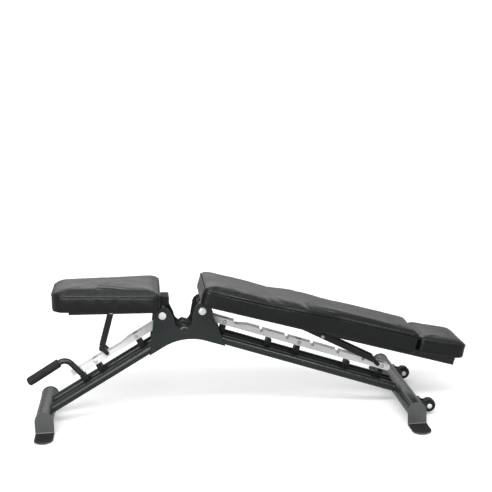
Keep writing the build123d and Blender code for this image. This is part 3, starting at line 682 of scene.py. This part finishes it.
class BENCH_OT_seat_pad(bpy.types.Operator):
    """Makes the seat's cushion: boxed sides, a crowned top and folds that run from the rear corner"""

    bl_idname = "bench.seat_pad"
    bl_label = "Seat cushion"

    def execute(self, context):
        settings = context.scene.bench_upholstery
        cover = finishes()["vinyl"]
        pad, piping = upholster(
            "seat_cushion", SEAT_OUTLINE, 30, 81, 14, 7 * MM, SEAT_FOLDS, SEAT, settings, cover
        )
        settle(pad, "seat", "vinyl", "seat_pad")
        settle(piping, "seat", "vinyl")
        return {"FINISHED"}


class BENCH_OT_back_pad(bpy.types.Operator):
    """Makes the long backrest cushion, which narrows towards the head"""

    bl_idname = "bench.back_pad"
    bl_label = "Backrest cushion"

    def execute(self, context):
        settings = context.scene.bench_upholstery
        cover = finishes()["vinyl"]
        extra = (190, 340, 8.5)
        pad, piping = upholster(
            "back_cushion", BACK_OUTLINE, 32, 82, 15, 5 * MM, BACK_FOLDS, BACK, settings, cover, extra
        )
        settle(pad, "backrest", "vinyl", "back_pad")
        settle(piping, "backrest", "vinyl")
        return {"FINISHED"}


class BENCH_OT_head_pad(bpy.types.Operator):
    """Makes the short head cushion"""

    bl_idname = "bench.head_pad"
    bl_label = "Head cushion"

    def execute(self, context):
        settings = context.scene.bench_upholstery
        cover = finishes()["vinyl"]
        pad, piping = upholster(
            "head_cushion", HEAD_OUTLINE, 2, 44, 14, 6 * MM, HEAD_FOLDS, HEAD, settings, cover
        )
        settle(pad, "backrest", "vinyl", "head_pad")
        settle(piping, "backrest", "vinyl")
        return {"FINISHED"}


# ---------------------------------------------------------------- steel and fittings

_finishes = {}


def finishes():
    """Every material of the bench, made once."""
    if not _finishes:
        scene = bpy.context.scene
        soft, steel, small = scene.bench_upholstery, scene.bench_steel, scene.bench_fittings
        rough = steel.coat_roughness
        slope = math.atan2(RAIL_RISE, FRONT_RUN)
        _finishes.update(
            vinyl=vinyl("pad_vinyl", soft.vinyl_colour, soft.vinyl_roughness),
            frame_paint=powder_coat("frame_powder_coat", steel.frame_colour, rough),
            foot_paint=powder_coat("foot_powder_coat", steel.foot_colour, rough + 0.06),
            post_paint=powder_coat("post_paint", steel.post_colour, 0.4),
            strut_paint=powder_coat("strut_paint", steel.strut_colour, 0.42),
            ladder_steel=plated("ladder_zinc", steel.zinc_colour, 0.34, slope, metallic=0.12),
            bolt_steel=plated("bolt_zinc", BOLT_COLOUR, 0.3, metallic=0.5),
            cap_chrome=polished("cap_polish", small.cap_colour),
            plywood=plywood("board_plywood", small.wood_colour),
            wedge_plastic=moulded("wedge_plastic", PLASTIC_COLOUR),
            nylon=moulded("bush_nylon", NYLON_COLOUR, 0.45),
            grip_foam=foam("grip_foam", small.foam_colour),
            black_rubber=rubber("sole_rubber", small.rubber_colour, 0.62),
            wheel_rubber=rubber("wheel_rubber", small.rubber_colour, 0.5),
        )
    return _finishes


class BENCH_OT_steelwork(bpy.types.Operator):
    """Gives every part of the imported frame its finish"""

    bl_idname = "bench.steelwork"
    bl_label = "Frame finishes"

    def execute(self, context):
        made = finishes()
        slots = {row["node"]: row["material_slot"] for row in frame["record"]["subparts"]}
        for name, node in NODES.items():
            node.data.materials.clear()
            node.data.materials.append(made[slots[name]])
        return {"FINISHED"}


def saddle(rail, y, along, foot_x, steps=40):
    """Points of the line where a rail's skin meets a foot tube's."""
    axis = (rail.to_3x3() @ Vector((1, 0, 0))) * along
    up = rail.to_3x3() @ Vector((0, 0, 1))
    points = []
    for i in range(steps):
        a = math.tau * i / steps
        across = Vector((0, math.sin(a) * RAIL_R, 0))
        skin = Vector((foot_x, y, FOOT_Z)) + up * math.cos(a) * RAIL_R + across
        offset = Vector((skin.x - foot_x, 0, skin.z - FOOT_Z))
        b = offset.dot(axis)
        reach = -b + math.sqrt(max(0.0, b * b - offset.length_squared + FOOT_R**2))
        points.append(skin + axis * reach)
    return points


class BENCH_OT_welds(bpy.types.Operator):
    """Lays a weld bead where each rail meets its foot tube"""

    bl_idname = "bench.welds"
    bl_label = "Weld beads"

    def execute(self, context):
        radius = context.scene.bench_steel.bead_radius
        beads = []
        for rail, along, foot_x in ((FRONT_RAIL, 1, FRONT_FOOT_X), (REAR_RAIL, -1, REAR_FOOT_X)):
            for y in (-RAIL_Y, RAIL_Y):
                bead = cord_ring("bead", saddle(rail, y, along, foot_x), radius, finishes()["frame_paint"])
                for vert in bead.data.vertices:
                    vert.co += vert.normal * 0.0005 * noise.noise(vert.co * 420)
                beads.append(bead)
        settle(joined("rail_weld_beads", beads), "frame", "frame_paint")
        return {"FINISHED"}


def domed_cap(bm, radius, height, place):
    """A low domed cap with a small step round its rim, added to a mesh."""
    profile = [(0, 0), (radius - 0.6, 0), (radius, 0.6)]
    profile += [(radius, height * 0.3), (radius * 0.93, height * 0.42)]
    for i in range(1, 7):
        a = math.pi / 2 * i / 6
        profile.append((radius * 0.9 * math.cos(a), height * (0.42 + 0.58 * math.sin(a))))
    profile[-1] = (0, height)
    add_spun(bm, profile, place)


def facing(place, side):
    """A frame at a place whose z axis points to the near (-1) or far (+1) side."""
    return Matrix.Translation(place) @ Matrix.Rotation(-side * math.pi / 2, 4, "X")


class BENCH_OT_caps(bpy.types.Operator):
    """Makes the polished caps on the two pivots"""

    bl_idname = "bench.caps"
    bl_label = "Pivot caps"

    def execute(self, context):
        bm = bmesh.new()
        for pivot in (SEAT_PIVOT, BACK_PIVOT):
            for side in (-1, 1):
                domed_cap(bm, *PIVOT_CAP, facing(pivot + Vector((0, side * PLATE_OUT, 0)), side))
        caps = as_object(bm, "pivot_end_caps", finishes()["cap_chrome"])
        settle(caps, "frame", "cap_chrome", "pivot_caps")
        return {"FINISHED"}


# Half of a wheel's section, from the middle of its tread to its bore: (radius, height)
TYRE_HALF = [
    (22.0, 3.0), (21.1, 3.6), (21.1, 5.0), (22.0, 5.6), (22.0, 9.2), (21.7, 10.6), (20.6, 12.2), (18.6, 13.0),
    (16.2, 12.6), (15.4, 11.6), (11.0, 12.2), (10.4, 13.0), (9.2, 13.0), (8.6, 12.6), (4.05, 12.0),
]
TYRE_PROFILE = [(r, -z) for r, z in reversed(TYRE_HALF)] + TYRE_HALF + [(4.05, -12.0)]


def bolt(name, body, node, places, shank, head, height, reach):
    """Bolts across the bench, each with a washer and a socketed button head at both ends."""
    shares = (
        (1, 0), (1, 0.3), (0.82, 0.34), (0.8, 0.6), (0.6, 0.92), (0.42, 1), (0.34, 1), (0.3, 0.45), (0, 0.4)
    )
    half = [(shank, reach), *[(head * r, reach + height * z) for r, z in shares]]
    profile = [(r, -z) for r, z in reversed(half)] + half
    bm = bmesh.new()
    for place in places:
        add_spun(bm, profile, facing(place, 1), 32)
    settle(as_object(bm, name, finishes()["bolt_steel"]), body, "bolt_steel", node)


def middle(node):
    """The middle of a CAD node's box."""
    low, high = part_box(node)
    return (low + high) / 2


class BENCH_OT_bolts(bpy.types.Operator):
    """Makes the bolts of the ladders and of the struts"""

    bl_idname = "bench.bolts"
    bl_label = "Bolts"

    def execute(self, context):
        rows = [(FRONT_RAIL, x) for x in FRONT_BOLTS] + [(REAR_RAIL, x) for x in REAR_BOLTS]
        ladder = [rail @ Vector((x * MM, 0, BOLT_RISE * MM)) for rail, x in rows]
        bolt("ladder_button_bolts", "frame", "ladder_bolts", ladder, *LADDER_BOLT)
        for name, body in (("seat_strut", "seat"), ("back_strut", "backrest")):
            place = Vector(JOINTS[f"{name}_swing"]["pos_m"])
            bolt(f"{name}_button_bolt", body, f"{name}_bolt", [place], *STRUT_BOLT)
        tie = middle("back_strut_tie_bolt")
        bolt("strut_tie_button_bolt", "back_strut", "back_strut_tie_bolt", [tie], *TIE_BOLT)
        return {"FINISHED"}


class BENCH_OT_wheels(bpy.types.Operator):
    """Makes the two transport wheels and the caps of their bolts"""

    bl_idname = "bench.wheels"
    bl_label = "Transport wheels"

    def execute(self, context):
        bolts = bmesh.new()
        for side, name in ((-1, "near"), (1, "far")):
            centre = Vector((WHEEL_AXIS.x, side * abs(WHEEL_AXIS.y), WHEEL_AXIS.z))
            bm = bmesh.new()
            spun(bm, TYRE_PROFILE, 56)
            wheel = as_object(bm, f"roller_{name}", finishes()["wheel_rubber"], facing(centre, 1))
            settle(wheel, f"wheel_{name}", "wheel_rubber", f"transport_wheel_{name}")
            for out in (-1, 1):
                cheek = centre + Vector((0, out * FORK_HALF * MM, 0))
                domed_cap(bolts, *WHEEL_CAP, facing(cheek, out))
            radius = WHEEL_BOLT_R * MM
            shank = bmesh.ops.create_cone(
                bolts,
                cap_ends=True,
                segments=32,
                radius1=radius,
                radius2=radius,
                depth=2 * FORK_HALF * MM,
                matrix=facing(centre, 1),
            )
            skin = list({f for v in shank["verts"] for f in v.link_faces})
            bmesh.ops.recalc_face_normals(bolts, faces=skin)
        caps = as_object(bolts, "wheel_bolt_caps", finishes()["cap_chrome"])
        settle(caps, "frame", "cap_chrome", "wheel_bolts")
        return {"FINISHED"}


class BENCH_OT_grip(bpy.types.Operator):
    """Makes the handle's foam grip, with a rounded closed end and a rolled mouth"""

    bl_idname = "bench.grip"
    bl_label = "Handle grip"

    def execute(self, context):
        axis = GRIP_HIGH - GRIP_LOW
        length = axis.length / MM
        profile = [(0, 0)]
        for i in range(1, 8):
            a = math.pi / 2 * i / 7
            radius = GRIP_R - GRIP_ROUND + GRIP_ROUND * math.sin(a)
            profile.append((radius, GRIP_ROUND - GRIP_ROUND * math.cos(a)))
        profile += [(GRIP_R, length * k / 12) for k in range(2, 12)]
        profile += [(radius, length + height) for radius, height in GRIP_MOUTH]
        profile += [GRIP_HOLE, (0, GRIP_HOLE[1])]
        bm = bmesh.new()
        spun(bm, profile)
        for vert in bm.verts:
            vert.co += vert.normal * 0.00025 * noise.noise(vert.co * 60)
        turn = Vector((0, 0, 1)).rotation_difference(axis).to_matrix().to_4x4()
        piece = as_object(bm, "foam_grip", finishes()["grip_foam"], Matrix.Translation(GRIP_LOW) @ turn)
        settle(piece, "frame", "grip_foam", "handle_grip")
        return {"FINISHED"}


# ---------------------------------------------------------------- stage


class BENCH_OT_stage(bpy.types.Operator):
    """Sets the floor, the soft lights and the camera"""

    bl_idname = "bench.stage"
    bl_label = "Floor, lights and camera"

    def execute(self, context):
        settings = context.scene.bench_stage
        self.camera(context.scene)
        self.floor(settings)
        self.lights(context.scene, settings)
        return {"FINISHED"}

    def camera(self, scene):
        yaw, pitch, roll = CAMERA_TURN
        look = Vector((math.sin(yaw) * math.cos(pitch), math.cos(yaw) * math.cos(pitch), -math.sin(pitch)))
        right = Vector((math.cos(yaw), -math.sin(yaw), 0))
        up = right.cross(look)
        turned_right = math.cos(roll) * right + math.sin(roll) * up
        turned_up = math.cos(roll) * up - math.sin(roll) * right
        data = bpy.data.cameras.new("camera")
        data.sensor_width = 36
        data.lens = LENS
        made = bpy.data.objects.new("camera", data)
        scene.collection.objects.link(made)
        turn = Matrix((turned_right, turned_up, -look)).transposed().to_4x4()
        made.matrix_world = Matrix.Translation(CAMERA_PLACE) @ turn
        scene.camera = made

    def floor(self, settings):
        """A plain sheet that turns up into a wall on every side, a little dimmer round the bench."""
        bm = bmesh.new()
        bmesh.ops.create_grid(bm, x_segments=1, y_segments=1, size=FLOOR_HALF)
        rim = bm.edges[:]
        walls = bmesh.ops.extrude_edge_only(bm, edges=rim)["geom"]
        upper = [g for g in walls if isinstance(g, bmesh.types.BMVert)]
        bmesh.ops.translate(bm, verts=upper, vec=(0, 0, FLOOR_HALF))
        bmesh.ops.bevel(
            bm, geom=rim, offset=FLOOR_ROUND, segments=16, affect="EDGES", profile=0.5, material=-1
        )
        sheet = Finish("floor", 0.85)
        sheet.tinted(sheet.noise(0.6, 2), settings.floor_colour, 0.004)
        sheet.shader.inputs["Emission Color"].default_value = (1, 1, 1, 1)
        reach = sheet.node("ShaderNodeVectorMath", {"operation": "LENGTH"})
        sheet.link(sheet.place, reach.inputs[0])
        glow = sheet.between(reach.outputs["Value"], 0.3, 0.75, (1.2, 4.0))
        sheet.link(glow, sheet.shader.inputs["Emission Strength"])
        floor = as_object(bm, "floor", sheet.material)
        floor.visible_diffuse = False
        floor.visible_glossy = False
        floor.visible_shadow = False

    def lights(self, scene, settings):
        world = bpy.data.worlds.new("room")
        world.use_nodes = True
        background = world.node_tree.nodes["Background"]
        background.inputs["Color"].default_value = (1, 1, 1, 1)
        background.inputs["Strength"].default_value = settings.room_light
        scene.world = world
        for name, place, width, depth in LAMPS:
            data = bpy.data.lights.new(name, "AREA")
            data.shape = "RECTANGLE"
            data.size = width
            data.size_y = depth
            data.energy = getattr(settings, f"{name}_power")
            lamp = bpy.data.objects.new(name, data)
            scene.collection.objects.link(lamp)
            lamp.location = place
            lamp.visible_camera = False
            lamp.rotation_euler = (LAMP_AIM - lamp.location).to_track_quat("-Z", "Y").to_euler()
        scene.view_settings.view_transform = "Standard"


# ---------------------------------------------------------------- panel and registration


class BENCH_PT_panel(bpy.types.Panel):
    """Lists the bench's settings and pieces"""

    bl_idname = "BENCH_PT_panel"
    bl_label = "Weight bench"
    bl_space_type = "VIEW_3D"
    bl_region_type = "UI"
    bl_category = "Bench"

    def draw(self, context):
        for group in GROUPS:
            settings = getattr(context.scene, group)
            column = self.layout.column(align=True)
            for key in settings.__annotations__:
                column.prop(settings, key)
        for operator in OPERATORS:
            self.layout.operator(operator.bl_idname)


GROUPS = {
    "bench_upholstery": BenchUpholstery,
    "bench_steel": BenchSteel,
    "bench_fittings": BenchFittings,
    "bench_stage": BenchStage,
}
OPERATORS = (
    BENCH_OT_stage,
    BENCH_OT_steelwork,
    BENCH_OT_seat_pad,
    BENCH_OT_back_pad,
    BENCH_OT_head_pad,
    BENCH_OT_grip,
    BENCH_OT_caps,
    BENCH_OT_bolts,
    BENCH_OT_wheels,
    BENCH_OT_welds,
)


def register():
    for made in (*GROUPS.values(), *OPERATORS, BENCH_PT_panel):
        bpy.utils.register_class(made)
    for name, group in GROUPS.items():
        setattr(bpy.types.Scene, name, PointerProperty(type=group))


def unregister():
    for name in GROUPS:
        delattr(bpy.types.Scene, name)
    for made in reversed((*GROUPS.values(), *OPERATORS, BENCH_PT_panel)):
        bpy.utils.unregister_class(made)


def main():
    register()
    for operator in OPERATORS:
        family, name = operator.bl_idname.split(".")
        getattr(getattr(bpy.ops, family), name)()


if __name__ == "__main__":
    main()
